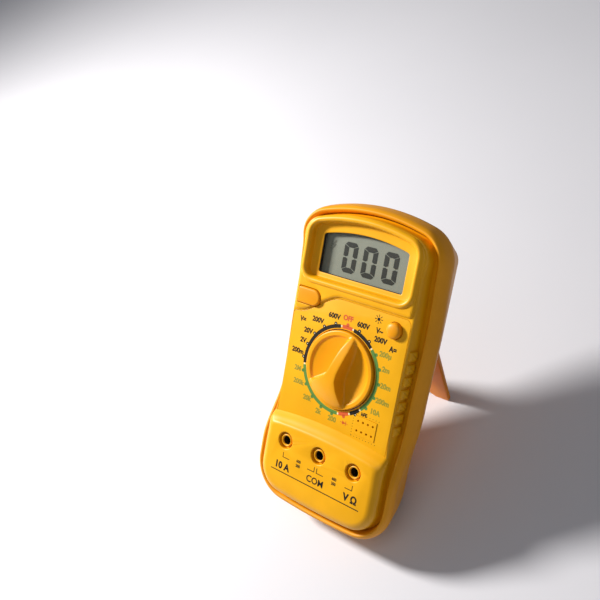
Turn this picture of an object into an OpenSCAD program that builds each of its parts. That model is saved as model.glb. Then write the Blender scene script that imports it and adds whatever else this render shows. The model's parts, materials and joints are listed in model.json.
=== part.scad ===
// Hand-held digital multimeter in a soft boot, propped up on its tilt stand.
//
// Every piece is drawn with the meter lying on its back: X across, Y towards the display,
// Z out of the face, and zero at the centre of the dial on the face. propped() then leans
// the meter back until the bottom edge of the boot and the foot of the stand share a table.

/* [Boot] */
// Half width of the boot beside the display
boot_half_top = 38; // [37.6:0.1:38.6]
// Half width of the boot at its waist
boot_half_waist = 37.3; // [36.8:0.1:38]
// Half width of the boot beside the jacks
boot_half_foot = 38.5; // [38:0.1:39]
// Distance from the dial centre to the top end
boot_top = 72.8; // [72.4:0.1:73.4]
// Distance from the dial centre to the bottom end
boot_bottom = 73.6; // [73.4:0.1:74.4]
// Depth of the back of the boot below the face
boot_back = 34.8; // [34.6:0.1:36]

/* [Case] */
// Depth of the back of the rear case below the face
case_back = 30.1; // [29.8:0.1:30.2]
// Thickness of the case walls
wall = 1.9; // [1.6:0.1:2.1]
// Height of the jack platform above the face
platform_h = 4.6; // [4:0.1:5]
// Height of the rim around the display above the face
display_h = 2; // [1.6:0.1:2.4]

/* [Dial] */
// Radius of the selector knob
knob_r = 17.6; // [17:0.1:17.8]
// Height of the knob's grip above the face
grip_h = 6; // [5:0.5:8]
// Number of selector positions
positions = 20; // [20:1:20]
// Position that the knob points at, counted clockwise from OFF
selected = 1; // [0:1:19]

/* [Jacks] */
// Distance between neighbouring jacks, the standard three quarters of an inch
jack_pitch = 19.05; // [19:0.05:19.1]
// Bore of a jack, which takes a 4 mm plug
jack_bore = 4; // [4:0.05:4.1]
// Distance of the row of jacks below the dial centre
jack_row = 39.9; // [39.5:0.1:40.3]

/* [Stand] */
// Angle between the open stand and the back of the boot
stand_open = 48.5; // [48:0.5:52]
// Length of the stand from its hinge to the centre of its foot
stand_l = 57; // [56:0.5:58]
// Half width of the stand at its hinge
stand_half_top = 25.4; // [24:0.2:25.4]
// Half width of the stand at its foot
stand_half_foot = 20; // [18:0.5:22]
// Distance of the hinge above the dial centre
hinge_y = 18.4; // [17:0.2:20]

/* [Buttons] */
// Travel of the two push buttons
button_travel = 1; // [0.6:0.1:1]
// Radius of the round backlight button
light_button_r = 3.5; // [3:0.1:3.8]

/* [Hidden] */

$fn = 48;
tiny = 0.01;
gap = 0.3;

// Outline of the boot: arcs at the ends and corners, and sides with a slight waist
top_arc_r = 95;
top_corner_r = 16;
bottom_arc_r = 300;
bottom_corner_r = 19;
waist_y = -12;
waist_to_top = 35;
waist_to_foot = 38;
arc_steps = 6;
side_steps = 9;
// The rim of the boot rises by a few millimetres between these two places to follow the platform
rise_start = -15;
rise_end = -45;
// At the display end it rises by a share of that between these two places
top_rise_start = 25;
top_rise_end = 55;
top_share = 0.28;
// Between these two places the case and the rim's crest move out towards the display end
spread_start = 48;
spread_end = 62;
top_lift = 1.6;

// Levels, measured out of the face
parting = -16;
under_face = -wall;
cavity_floor = -case_back - 0.2;
lcd_front = -5.2;
lcd_back = -7.2;
board_top = -8.6;
board_back = -10.2;
hinge_z = -boot_back + 1.8;

// Insets from the boot's widest outline, and the play of the case in the boot
board_inset = 9.2;
case_play = 0.2;

// Stand details
plate_t = 2.4;
barrel_r = 1.5;
peg_r = 1.3;
peg_fit = 0.08;
peg_l = 2.6;
foot_r = 1.2;
foot_w = 8;
arch_h = 5;
recess_floor = -31.4;
pocket_floor = -31.2;

// Label outline
label_half = 30;
label_top = 30.5;
label_left_top = 19.9;
label_bottom = -27;
label_bottom_drop = 2.6;
label_t = 0.4;

// Display
window_half = 21.9;
window_low = 39.4;
window_high = 56.6;
window_arch = 59.6;
rim_half = 29.4;
rim_low = 34.2;
rim_corner_r = 7;
rim_top_r = 8;
rim_arc_r = 89;
rim_w = 3;
bezel = -1.9;
deck_h = 0.6;
glass_margin = 1.8;
frame_margin = 2.6;
holder_margin = 4.6;
lamp_y = 58.4;

// Jack platform
platform_in = 6.3;
platform_half = 30;
platform_top_share = 0.4;
platform_side_top = -36;
platform_top = -31.2;
platform_arc_r = 320;

// Jacks
jack_sunk = 0.7;
jack_tail = 0.3;
collar_r = 2.9;
jack_recess_r = 4;
jack_boss_r = 5;
jack_flange_r = 4.2;

// Buttons
hold_x = -22.4;
hold_y = 27.7;
hold_half_l = 6.2;
hold_half_w = 3.7;
light_x = 23.1;
light_y = 24.6;
hold_top = 1.7;
flange_top = -2.5;
flange_t = 1;
flange_w = 0.7;
stem_r = 1.5;
stem_fit = 0.1;
// The flange stops short of the switch by the travel and a little more
switch_top = flange_top - flange_t - button_travel - 0.7;
switch_floor = board_top + 1.2;
stem_low = switch_floor + button_travel + 0.5;
switch_side = 6;

// Screws
case_screw_at = [[-11, 31], [11, 31], [-18, -57], [18, -57]];
board_screw_at = [[-26.4, 12], [26.4, 12], [-26.6, -24.6], [26.6, -24.6]];
case_screw_r = 1.3;
case_screw_l = 22;
board_screw_r = 1;
board_screw_l = 7;
screw_head_h = 1.6;
head_ratio = 1.75;
head_seat = -case_back + 0.1;
case_post_r = 2.4;
board_post_r = 2;

// Transistor socket
socket_x = 18;
socket_y = -20.8;
socket_w = 11;
socket_l = 8.6;
pin_pitch = 2.54;
pin_row = 2.2;
pin_r = 0.5;

// Battery, a 9 V block lying across the case behind the board
battery_l = 46.4;
battery_w = 26.5;
battery_t = 17.2;
battery_x = -1;
battery_y = -33;
battery_back = -27.9;
terminal_z = battery_back + battery_t / 2;
terminal_pitch = 12.7;
terminal_h = 2.1;
terminal_small_r = 2.8;
terminal_large_r = 3.6;
snap_x = 23.9;
snap_t = 2.8;
snap_w = 24;

// Fuse, 5 x 20 mm, in two clips behind the board
fuse_x = -24;
fuse_y = 20;
fuse_z = -14;
fuse_l = 20;
fuse_r = 2.6;
fuse_cap_l = 5;
clip_w = 3.2;

// Parts soldered to the back of the board
chip_y = 28;
chip_side = 12;
buzzer_x = 11;
buzzer_y = 50;
buzzer_h = 5.4;
trimmer_x = 20;
trimmer_y = 16;
trimmer_h = 4.4;
resistor_x = -21.9;
resistor_r = 1.2;
resistor_l = 6.4;
wire_tail = 1.4;

// Rotary switch
rotor_r = 18.8;
rotor_top = -2.4;
rotor_low = -5.4;
skirt_r = 16;
skirt_low = -7;
skirt_t = 2.6;
ball_r = 1.1;
ball_z = -3.9;
ball_fit = 0.05;
channel_start = 12;
ratchet_r = rotor_r - 0.1 + ball_r + gap;
ratchet_t = 1.2;
ratchet_low = -5.8;
notch_r = 0.8;
hub_r = 4;
wiper_r = 10.5;

yellow = "#E8A317";
stand_yellow = "#E39A12";

// ---- Outline ----

function ease(t) = let (c = max(0, min(1, t))) c * c * (3 - 2 * c);

function mix(a, b, k) = a + (b - a) * k;

function side_half(y) = boot_half_waist
    + (boot_half_top - boot_half_waist) * ease((y - waist_y) / waist_to_top)
    + (boot_half_foot - boot_half_waist) * ease((waist_y - y) / waist_to_foot);

// Height of a corner's centre from the end's arc centre
function corner_rise(arc_r, corner_r, half) =
    sqrt(pow(arc_r - corner_r, 2) - pow(half - corner_r, 2));

top_centre_y = boot_top - top_arc_r;
top_corner_x = boot_half_top - top_corner_r;
top_corner_y = top_centre_y + corner_rise(top_arc_r, top_corner_r, boot_half_top);
top_angle = atan2(top_corner_y - top_centre_y, top_corner_x);
bottom_centre_y = bottom_arc_r - boot_bottom;
bottom_corner_x = boot_half_foot - bottom_corner_r;
bottom_corner_y = bottom_centre_y - corner_rise(bottom_arc_r, bottom_corner_r, boot_half_foot);
bottom_angle = atan2(bottom_centre_y - bottom_corner_y, bottom_corner_x);

function arc(cx, cy, r, from, to, steps) =
    [for (i = [0:steps]) let (a = mix(from, to, i / steps)) [cx + r * cos(a), cy + r * sin(a)]];

// Right half of the outline at inset d, from the bottom centre up to the top centre
function right_half(d) = concat(
    arc(0, bottom_centre_y, bottom_arc_r - d, -90, -bottom_angle, 2),
    arc(bottom_corner_x, bottom_corner_y, bottom_corner_r - d, -bottom_angle + 90 / arc_steps,
        -90 / arc_steps, arc_steps - 2),
    [for (i = [0:side_steps])
        let (y = mix(bottom_corner_y, top_corner_y, i / side_steps)) [side_half(y) - d, y]],
    arc(top_corner_x, top_corner_y, top_corner_r - d, top_angle / arc_steps, top_angle, arc_steps - 1),
    [for (i = [1:3]) let (a = mix(top_angle, 90, i / 3))
        [(top_arc_r - d) * cos(a), top_centre_y + (top_arc_r - d) * sin(a)]]
);

function outline(d) = let (r = right_half(d), n = len(r))
    concat(r, [for (i = [n - 2:-1:1]) [-r[i][0], r[i][1]]]);

function foot_blend(y) = ease((rise_start - y) / (rise_start - rise_end));

function top_blend(y) = ease((y - top_rise_start) / (top_rise_end - top_rise_start));

function spread_at(y) = ease((y - spread_start) / (spread_end - spread_start));

// A ring of the shell: inset at the sides, inset at the foot, level at the sides, level at the
// foot, how much further in it is at the display end, and how much higher it is there
function ring(s) = let (a = outline(s[0]), b = outline(s[1]), c = outline(s[0] + s[4]))
    [for (i = [0:len(a) - 1])
        let (y = a[i][1], k = foot_blend(y), m = k + top_share * top_blend(y), e = spread_at(y))
        [
            mix(mix(a[i][0], b[i][0], k), c[i][0], e),
            mix(mix(y, b[i][1], k), c[i][1], e),
            mix(s[2], s[3], m) + (len(s) > 5 ? s[5] * e : 0)
        ]];

function flat(points) = [for (p = points) [p[0], p[1]]];

// Closed solid through a list of rings, capped at both ends
module skin(rings) {
    n = len(rings[0]);
    last = len(rings) - 1;
    points = [for (r = rings) for (p = r) p];
    sides = [for (j = [0:last - 1]) for (i = [0:n - 1])
        let (a = j * n + i, b = j * n + (i + 1) % n, c = b + n, d = a + n)
        for (t = [[a, d, c], [a, c, b]]) t];
    low_cap = [for (i = [0:n - 1]) i];
    high_cap = [for (i = [n - 1:-1:0]) last * n + i];
    polyhedron(points, concat([low_cap], sides, [high_cap]), convexity = 6);
}

// Rows of the cavity that the case sits in, from its mouth down
cavity = [
    [4.8, 5, -8.6, -3, -0.6, top_lift],
    [5.6, 7, parting, parting, 0],
    [8.2, 10.4, -25, -25, 0],
    [10.4, 12.8, cavity_floor, cavity_floor, 0]
];
boot_outer = [
    [10.8, 14.6, -boot_back, -boot_back, 0],
    [9, 12.4, -boot_back + 1.2, -boot_back + 1.3, 0],
    [6.6, 8.8, -28, -26, 0],
    [3.2, 5.2, -20.5, -16.5, 0],
    [1.2, 3.4, -16, -10.5, 0],
    [0, 2.1, -13, -6.5, 0],
    [0.3, 1.3, -10.5, -3.4, 0.1, 0.4],
    [1.7, 1.7, -8, -1.1, -0.6, 1.2],
    [2.7, 2.6, -6.6, 0, -0.7, 1.6],
    [3.5, 3.5, -6.2, 0.4, -0.7, top_lift],
    [4.2, 4.3, -6.8, -0.4, -0.5, top_lift]
];

// ---- Standing pose ----

hinge_to_foot = [hinge_y - stand_l * cos(stand_open), hinge_z - stand_l * sin(stand_open)];

// Lowest points of the boot's bottom end, as [along the meter, out of the face]
boot_heel = [for (s = boot_outer) [-boot_bottom + s[1], s[3]]];

function lean_on(p) = let (
        d = hinge_to_foot - p,
        along = d[0],
        out = -d[1])
    atan2(along, out) - asin(foot_r / norm(d));

// Angle between the face and the vertical when boot and stand share the table
lean = max([for (p = boot_heel) lean_on(p)]);

function up(y, z) = y * cos(lean) + z * sin(lean);
function along(y, z) = y * sin(lean) - z * cos(lean);

table = up(hinge_to_foot[0], hinge_to_foot[1]) - foot_r;
boot_spread = [for (s = boot_outer) for (p = ring(s)) along(p[1], p[2])];
middle = (min(boot_spread) + max(boot_spread)) / 2;

module propped() {
    translate([0, -middle, -table])
        rotate([90 - lean, 0, 0])
            children();
}

// ---- Small helpers ----

module at(x, y, z) {
    translate([x, y, z])
        children();
}

module post(x, y, low, high, r) {
    at(x, y, low)
        cylinder(h = high - low, r = r);
}

module block(x, y, low, high, w, l) {
    at(x - w / 2, y - l / 2, low)
        cube([w, l, high - low]);
}

module slab(points, low, high) {
    at(0, 0, low)
        linear_extrude(high - low)
            polygon(points);
}

// Rounded rectangle from its lowest and highest corner
function rounded(x0, y0, x1, y1, r) = concat(
    arc(x1 - r, y0 + r, r, -90, 0, 5),
    arc(x1 - r, y1 - r, r, 0, 90, 5),
    arc(x0 + r, y1 - r, r, 90, 180, 5),
    arc(x0 + r, y0 + r, r, 180, 270, 5)
);

// Tube along a list of points: a ring of points square to the path at each of them
function unit(v) = v / norm(v);
function heading(p, i) = unit(p[min(i + 1, len(p) - 1)] - p[max(i - 1, 0)]);
function square_ring(c, d, r, sides, side_axis) = let (
        u = unit(cross(d, side_axis)),
        v = cross(d, u))
    [for (k = [0:sides - 1]) c + r * (cos(360 * k / sides) * u + sin(360 * k / sides) * v)];

// side_axis is a direction that the path never takes
module tube(path, r, side_axis, sides = 6) {
    n = len(path);
    rings = [for (i = [0:n - 1]) square_ring(path[i], heading(path, i), r, sides, side_axis)];
    points = [for (q = rings) for (p = q) p];
    walls = [for (j = [0:n - 2]) for (i = [0:sides - 1])
        let (a = j * sides + i, b = j * sides + (i + 1) % sides, c = b + sides, d = a + sides)
        for (t = [[a, d, c], [a, c, b]]) t];
    low_cap = [for (i = [0:sides - 1]) i];
    high_cap = [for (i = [sides - 1:-1:0]) (n - 1) * sides + i];
    polyhedron(points, concat([low_cap], walls, [high_cap]), convexity = 6);
}

// ---- Boot and stand ----

module stand_plate(grow, low, high) {
    foot_y = hinge_y - stand_l;
    slab([
        [-stand_half_foot - grow, foot_y - grow],
        [stand_half_foot + grow, foot_y - grow],
        [stand_half_top + grow, hinge_y],
        [-stand_half_top - grow, hinge_y]
    ], low, high);
}

module boot() {
    color(yellow)
        propped()
            difference() {
                skin([for (s = concat(boot_outer, cavity)) ring(s)]);
                stand_plate(foot_r + 0.6, -boot_back - 1, recess_floor);
                block(0, hinge_y, -boot_back - 1, pocket_floor, 2 * stand_half_top + 1.2,
                    2 * barrel_r + 1.2);
                block(0, hinge_y - stand_l - 4, -boot_back - 1, recess_floor, 18, 8);
                at(-stand_half_top - 0.6 - peg_l, hinge_y, hinge_z)
                    rotate([0, 90, 0])
                        cylinder(h = 2 * (stand_half_top + 0.6 + peg_l), r = peg_r + peg_fit);
            }
}

// Foot edge of the stand, cut into an arch so that it stands on two corners
module foot_arch() {
    arch_half = stand_half_foot - foot_w;
    arch_r = (arch_half * arch_half + arch_h * arch_h) / (2 * arch_h);
    at(0, hinge_y - stand_l + arch_h - arch_r - foot_r, hinge_z - plate_t)
        cylinder(h = 2 * plate_t, r = arch_r, $fn = 96);
}

module closed_stand() {
    foot_y = hinge_y - stand_l;
    difference() {
        union() {
            stand_plate(0, hinge_z - plate_t / 2, hinge_z + plate_t / 2);
            at(-stand_half_foot, foot_y, hinge_z)
                rotate([0, 90, 0])
                    cylinder(h = 2 * stand_half_foot, r = foot_r);
            at(-stand_half_top, hinge_y, hinge_z)
                rotate([0, 90, 0])
                    cylinder(h = 2 * stand_half_top, r = barrel_r);
            at(-stand_half_top - peg_l, hinge_y, hinge_z)
                rotate([0, 90, 0])
                    cylinder(h = 2 * (stand_half_top + peg_l), r = peg_r);
        }
        foot_arch();
    }
}

module stand() {
    color(stand_yellow)
        propped()
            at(0, hinge_y, hinge_z)
                rotate([stand_open, 0, 0])
                    at(0, -hinge_y, -hinge_z)
                        closed_stand();
}

// ---- Case ----

function inside(row, d) = [row[0] + d, row[1] + d, row[2], row[3], row[4]];

// The same row, further in and at another level
function lifted(row, d, level) = [row[0] + d, row[1] + d, level, level, row[4]];

top_shift = -1.8;
front_outer = [
    inside(cavity[1], case_play),
    [5, 5.2, -9, -3.4, -0.5, top_lift],
    [6.4, 5.8, -8, -2.6, -1.2, top_lift],
    [7.1, 6.2, -1, -0.6, -1.6],
    [7.6, 6.6, 0, 0, top_shift]
];
front_inner = [
    lifted(cavity[1], case_play + wall, parting - 1),
    [5.2 + wall, 6.2 + wall, -8.8, -8.8, 0],
    [7.1 + wall, 6.2 + wall, under_face - 1, under_face - 1, -1.4],
    [7.1 + wall, 6.2 + wall, under_face, under_face, -1.4]
];

// Edge of the case's top, drawn in by d
function case_edge(d) = flat(ring([7.6 + d, 6.6 + d, 0, 0, top_shift]));

// Jack platform: parallel to the case all round its bottom end, with an arched top edge
function platform(d) = let (
        r = [for (p = right_half(platform_in + d)) if (p[1] < platform_side_top) p],
        n = len(r),
        sweep = asin((platform_half - d) / platform_arc_r))
    concat(
        r,
        arc(0, platform_top - platform_top_share * d - platform_arc_r, platform_arc_r,
            90 - sweep, 90 + sweep, 4),
        [for (i = [n - 1:-1:1]) [-r[i][0], r[i][1]]]
    );

// Inset and level of each row of the platform's rounded side
platform_rows = [
    [0, -1], [0, 0.8], [0.5, 2.2], [1.5, 3.4], [2.6, platform_h - 0.4], [3.6, platform_h]
];

// Rim round the display, d inside its outer edge, with round corners and an arched top
function rim_outline(d) = let (
        x = rim_half - rim_top_r,
        rise = corner_rise(rim_arc_r, rim_top_r, rim_half),
        a = atan2(rise, x),
        step = (180 - 2 * a) / 8)
    concat(
        arc(rim_half - rim_corner_r, rim_low + rim_corner_r, rim_corner_r - d, -90, 0, 5),
        arc(x, top_centre_y + rise, rim_top_r - d, 0, a, 4),
        arc(0, top_centre_y, rim_arc_r - d, a + step, 180 - a - step, 6),
        arc(-x, top_centre_y + rise, rim_top_r - d, 180 - a, 180, 4),
        arc(rim_corner_r - rim_half, rim_low + rim_corner_r, rim_corner_r - d, 180, 270, 5)
    );

// Deck round the display, a little higher than the label, which it borders in the same curve
function deck_outline() = concat(
    [for (i = [0:10])
        let (x = mix(-label_half + 0.8, -5, i / 10))
        [x, label_left_top + 0.8 + (label_top - label_left_top) * ease((x + 28) / 23)]],
    [[label_half - 0.8, label_top + 0.8]],
    [for (p = case_edge(0.3)) if (p[1] > (p[0] > 0 ? label_top : label_left_top) + 1.5) p]
);

function window_outline(d) = concat(
    [[-window_half - d, window_low - d], [window_half + d, window_low - d]],
    [for (i = [0:8]) let (x = mix(window_half, -window_half, i / 8), k = x / window_half)
        [x * (1 + d / window_half), window_arch + d - (window_arch - window_high) * k * k]]
);

function hold_outline(d) = concat(
    [[hold_x - hold_half_l - d, hold_y + hold_half_w + d - 1]],
    [[hold_x - hold_half_l - d, hold_y - hold_half_w - d + 1]],
    arc(hold_x + hold_half_l - hold_half_w, hold_y, hold_half_w + d, -90, 90, 10)
);

module jack_places() {
    for (i = [-1:1])
        at(i * jack_pitch, -jack_row, 0)
            children();
}

module front_openings() {
    post(0, 0, -5, 5, knob_r + 0.4);
    slab(hold_outline(gap), -5, 5);
    post(light_x, light_y, -5, 5, light_button_r + gap);
    block(socket_x, socket_y, -5, 5, socket_w + 0.2, socket_l + 0.2);
    slab(window_outline(0), -6, 5);
    jack_places() {
        post(0, 0, -3, platform_h + 1, collar_r + 0.2);
        post(0, 0, platform_h - 2, platform_h + 1, jack_recess_r);
    }
}

// Ring under the face with one notch for each position, where the detent balls click
module ratchet() {
    difference() {
        post(0, 0, ratchet_low, under_face + tiny, ratchet_r + ratchet_t);
        post(0, 0, ratchet_low - 1, under_face + 1, ratchet_r);
        for (i = [0:positions - 1])
            rotate([0, 0, 360 / positions * i])
                post(0, ratchet_r, ratchet_low - 1, under_face - 0.2, notch_r);
    }
}

module front_case() {
    color(yellow)
        propped()
            difference() {
                union() {
                    difference() {
                        union() {
                            skin([for (s = front_outer) ring(s)]);
                            slab(rim_outline(0), -1, display_h - 0.5);
                            slab(rim_outline(0.7), -1, display_h);
                            slab(deck_outline(), -1, deck_h);
                            skin([for (s = platform_rows)
                                [for (p = platform(s[0])) [p[0], p[1], s[1]]]]);
                        }
                        skin([for (s = front_inner) ring(s)]);
                        slab(platform(2.4), -3, platform_h - 2.2);
                    }
                    slab(window_outline(holder_margin), lcd_front - 1, -1);
                    ratchet();
                    for (p = case_screw_at)
                        post(p[0], p[1], parting, p[1] < 0 ? platform_h - 2 : -1, case_post_r);
                    for (p = board_screw_at)
                        post(p[0], p[1], board_top, -1, board_post_r);
                    jack_places()
                        post(0, 0, -2, platform_h - 2, jack_boss_r);
                }
                front_openings();
                slab(rim_outline(rim_w), bezel, display_h + 1);
                slab(window_outline(glass_margin + 0.2), lcd_front - 2, -3.6);
                slab(window_outline(frame_margin + 0.1), board_top, lcd_front - 1);
                slab(label_outline(0.1), -label_t, 1);
                for (p = case_screw_at)
                    post(p[0], p[1], parting - 1, -3, case_screw_r);
                for (p = board_screw_at)
                    post(p[0], p[1], board_top - 1, -3, board_screw_r);
            }
}

rear_outer = [
    lifted(cavity[3], case_play, -case_back),
    inside(cavity[2], case_play),
    inside(cavity[1], case_play)
];
rear_inner = [
    lifted(cavity[3], case_play + wall - 0.6, wall - case_back),
    inside(cavity[2], case_play + wall),
    lifted(cavity[1], case_play + wall, parting),
    lifted(cavity[1], case_play + wall, parting + 1)
];

module rear_case() {
    color("#2B2B2B")
        propped()
            difference() {
                union() {
                    difference() {
                        skin([for (s = rear_outer) ring(s)]);
                        skin([for (s = rear_inner) ring(s)]);
                    }
                    for (p = case_screw_at)
                        post(p[0], p[1], wall - case_back - tiny, parting, case_post_r);
                    for (s = [-1, 1])
                        block(0, battery_y + s * (battery_w / 2 + 0.9), -case_back + 1, -20, 40, 1.2);
                }
                for (p = case_screw_at) {
                    post(p[0], p[1], -case_back - 1, head_seat + screw_head_h,
                        head_ratio * case_screw_r + 0.1);
                    post(p[0], p[1], -case_back - 1, parting + 1, case_screw_r + 0.1);
                }
            }
}

// Printed label: a plain right side, an arched bottom edge, and a top edge that dips round the
// hold button on the left
function label_outline(d) = concat(
    [for (i = [0:8]) let (x = mix(-label_half, label_half, i / 8), k = x / label_half)
        [x + d * k, label_bottom - label_bottom_drop * k * k - d]],
    arc(label_half - 2.5, label_top - 2.5, 2.5 + d, 0, 90, 4),
    [for (i = [0:10]) let (x = mix(-5, -28, i / 10))
        [x, label_left_top + (label_top - label_left_top) * ease((x + 28) / 23) + d]],
    [[-label_half - d, label_left_top - 1.5]]
);

module dial_label() {
    color("#F0B020")
        propped()
            difference() {
                slab(label_outline(0), -label_t, 0);
                post(0, 0, -1, 1, knob_r + 0.6);
                post(light_x, light_y, -1, 1, light_button_r + gap);
                block(socket_x, socket_y, -1, 1, socket_w + 0.2, socket_l + 0.2);
            }
}

// ---- Display ----

module display_window() {
    color("#DDE4E0", 0.4)
        propped()
            slab(window_outline(glass_margin), -4.6, -3.6);
}

module lcd_frame() {
    color("#3A3A3A")
        propped()
            difference() {
                slab(window_outline(frame_margin), board_top, lcd_front - 1.05);
                slab(window_outline(glass_margin + 0.1), board_top - 1, lcd_front);
            }
}

module lcd_glass() {
    color("#87907C")
        propped()
            slab(window_outline(glass_margin - 0.1), lcd_back, -4.8);
}

module zebra_strip() {
    color("#D88CA0")
        propped()
            block(0, window_low - 0.8, board_top, lcd_back, 2 * window_half, 1.6);
}

module backlight_panel() {
    color("#F4F7FA")
        propped()
            slab(rounded(-window_half - 1, window_low + 0.6, window_half + 1, lamp_y - 1.4, 0.5),
                board_top + 0.1, lcd_back - 0.05);
}

module backlight_leds() {
    color("#FFFDE8")
        propped()
            for (s = [-1, 1])
                block(s * 11, lamp_y, board_top, lcd_back - 0.2, 3.2, 2);
}

// ---- Board and what is on it ----

module main_board() {
    color("#1F6B3A")
        propped()
            difference() {
                intersection() {
                    slab(outline(board_inset), board_back, board_top);
                    block(0, 10, board_back - 1, board_top + 1, 90, 115);
                }
                for (p = board_screw_at)
                    post(p[0], p[1], board_back - 1, board_top + 1, board_screw_r + 0.15);
                for (p = case_screw_at)
                    post(p[0], p[1], board_back - 1, board_top + 1, case_post_r + 0.4);
                jack_places()
                    post(0, 0, board_back - 1, board_top + 1, collar_r + 0.05);
            }
}

module jack() {
    propped()
        at(0, -jack_row, 0)
            difference() {
                union() {
                    post(0, 0, board_back - jack_tail, platform_h - jack_sunk, collar_r);
                    post(0, 0, board_top, board_top + 1, jack_flange_r);
                }
                post(0, 0, -20, 20, jack_bore / 2);
            }
}

module jack_10a() {
    color("#C9A24B")
        translate([-jack_pitch, 0, 0])
            jack();
}

module jack_common() {
    color("#C9A24B")
        jack();
}

module jack_volts() {
    color("#C9A24B")
        translate([jack_pitch, 0, 0])
            jack();
}

module transistor_socket() {
    color("#1C1C1C")
        propped()
            difference() {
                block(socket_x, socket_y, board_top, 0.2, socket_w, socket_l);
                post(0, 0, board_top - 1, under_face + 0.1, ratchet_r + ratchet_t + gap);
                for (i = [0:3])
                    for (s = [-1, 1])
                        post(socket_x + (i - 1.5) * pin_pitch, socket_y + s * pin_row, -6, 1, pin_r);
            }
}

module fuse() {
    color("#D8DCE0")
        propped()
            at(fuse_x, fuse_y, fuse_z) {
                rotate([-90, 0, 0])
                    cylinder(h = fuse_l, r = fuse_r - 0.4);
                for (y = [0, fuse_l - fuse_cap_l])
                    at(0, y, 0)
                        rotate([-90, 0, 0])
                            cylinder(h = fuse_cap_l, r = fuse_r);
            }
}

module fuse_clips() {
    color("#B9BDC2")
        propped()
            for (y = [fuse_y + fuse_cap_l / 2, fuse_y + fuse_l - fuse_cap_l / 2])
                difference() {
                    block(fuse_x, y, fuse_z - 2, board_back, 2 * fuse_r + 1.2, clip_w);
                    at(fuse_x, y - clip_w, fuse_z)
                        rotate([-90, 0, 0])
                            cylinder(h = 2 * clip_w, r = fuse_r + 0.05);
                    block(fuse_x, y, fuse_z - 3, fuse_z, 2 * fuse_r - 0.8, clip_w + 1);
                }
}

module shunt_wire() {
    shunt = [[-25, -31, -8.6], [-25, -31, -6.4], [-24, -31, -5.4], [-21, -31, -5], [-17, -31, -5],
        [-14, -31, -5.4], [-13, -31, -6.4], [-13, -31, -8.6]];
    color("#B87333")
        propped()
            tube(shunt, 0.8, [0, 1, 0], 8);
}

// The two round contacts on the end of the battery, grown by grow
module terminals(x, h, grow) {
    for (s = [-1, 1])
        at(x, battery_y + s * terminal_pitch / 2, terminal_z)
            rotate([0, 90, 0])
                cylinder(h = h, r = (s > 0 ? terminal_small_r : terminal_large_r) + grow);
}

module battery() {
    color("#30343A")
        propped() {
            block(battery_x, battery_y, battery_back, battery_back + battery_t, battery_l, battery_w);
            terminals(battery_x + battery_l / 2, terminal_h, 0);
        }
}

module battery_snap() {
    color("#1A1A1A")
        propped()
            difference() {
                block(snap_x, battery_y, battery_back + 3, battery_back + battery_t - 3, snap_t,
                    snap_w);
                terminals(battery_x + battery_l / 2 - 1, terminal_h + 1.2, 0.1);
            }
}

module battery_leads() {
    start_y = battery_y + snap_w / 2 + tiny;
    end_z = board_back - tiny;
    red = [[snap_x, start_y, -21], [snap_x, -19.6, -21], [23.6, -16.5, -19], [22.8, -14.6, -16],
        [22, -13.4, -11.6], [22, -13.4, end_z]];
    black = [[snap_x, start_y, -18], [snap_x, -20.2, -18], [24.6, -17.6, -16.6], [25.4, -16, -14.4],
        [25.8, -15, -11.6], [25.8, -15, end_z]];
    color("#C0281E")
        propped() {
            tube(red, 0.6, [1, 0, 0]);
            tube(black, 0.6, [1, 0, 0]);
        }
}

module battery_pad() {
    color("#4A4A4A")
        propped()
            block(battery_x, battery_y, wall - case_back, battery_back, battery_l - 10, battery_w - 8);
}

module converter_chip() {
    color("#222222")
        propped() {
            block(0, chip_y, board_back - 2.2, board_back - 0.5, chip_side, chip_side);
            for (a = [0:90:270])
                at(0, chip_y, 0)
                    rotate([0, 0, a])
                        for (i = [-5:5])
                            block(chip_side / 2 + 0.8, i, board_back - 0.8, board_back, 1.8, 0.4);
        }
}

module buzzer() {
    color("#2A2A2A")
        propped()
            difference() {
                post(buzzer_x, buzzer_y, board_back - buzzer_h, board_back, 8);
                post(buzzer_x, buzzer_y, board_back - buzzer_h - 1, board_back - buzzer_h + 0.6, 1);
            }
}

module trimmer() {
    color("#2F6FB5")
        propped()
            difference() {
                block(trimmer_x, trimmer_y, board_back - trimmer_h, board_back, 6.6, 6.6);
                block(trimmer_x, trimmer_y, board_back - trimmer_h - 1, board_back - trimmer_h + 0.6,
                    3.4, 0.8);
            }
}

module capacitors() {
    color("#C9A400")
        propped() {
            for (y = [-2, 6, 14])
                block(-8, y, board_back - 6.3, board_back, 7.2, 3.4);
            for (y = [4, 12])
                post(8, y, board_back - 7.8, board_back, 3.1);
        }
}

module resistors() {
    color("#9FC5D8")
        propped()
            for (y = [-16:4:12])
                at(resistor_x, y, board_back - resistor_r - 0.1)
                    rotate([0, 90, 0]) {
                        cylinder(h = resistor_l, r = resistor_r);
                        at(0, 0, -wire_tail)
                            cylinder(h = resistor_l + 2 * wire_tail, r = 0.3);
                    }
}

// ---- Selector ----

module turned() {
    rotate([0, 0, -selected * 360 / positions])
        children();
}

// Grip of the knob: a narrow bar towards the pointer end, and a tail that flares to the rim
module grip() {
    hull() {
        slab([[-1, 16.8], [1, 16.8], [2.6, 2], [3.2, -6], [-3.2, -6], [-2.6, 2]], 0.4, 1.4);
        slab([[-0.6, 13], [0.6, 13], [1.8, 0], [2.2, -6], [-2.2, -6], [-1.8, 0]],
            grip_h - 0.6, grip_h);
    }
    hull() {
        slab([[-3, -3], [3, -3], [9.6, -13], [6, -16.4], [-6, -16.4], [-9.6, -13]], 0.4, 1.4);
        slab([[-1.9, -2], [1.9, -2], [3, -9], [-3, -9]], grip_h - 0.8, grip_h - 0.2);
    }
}

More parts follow.
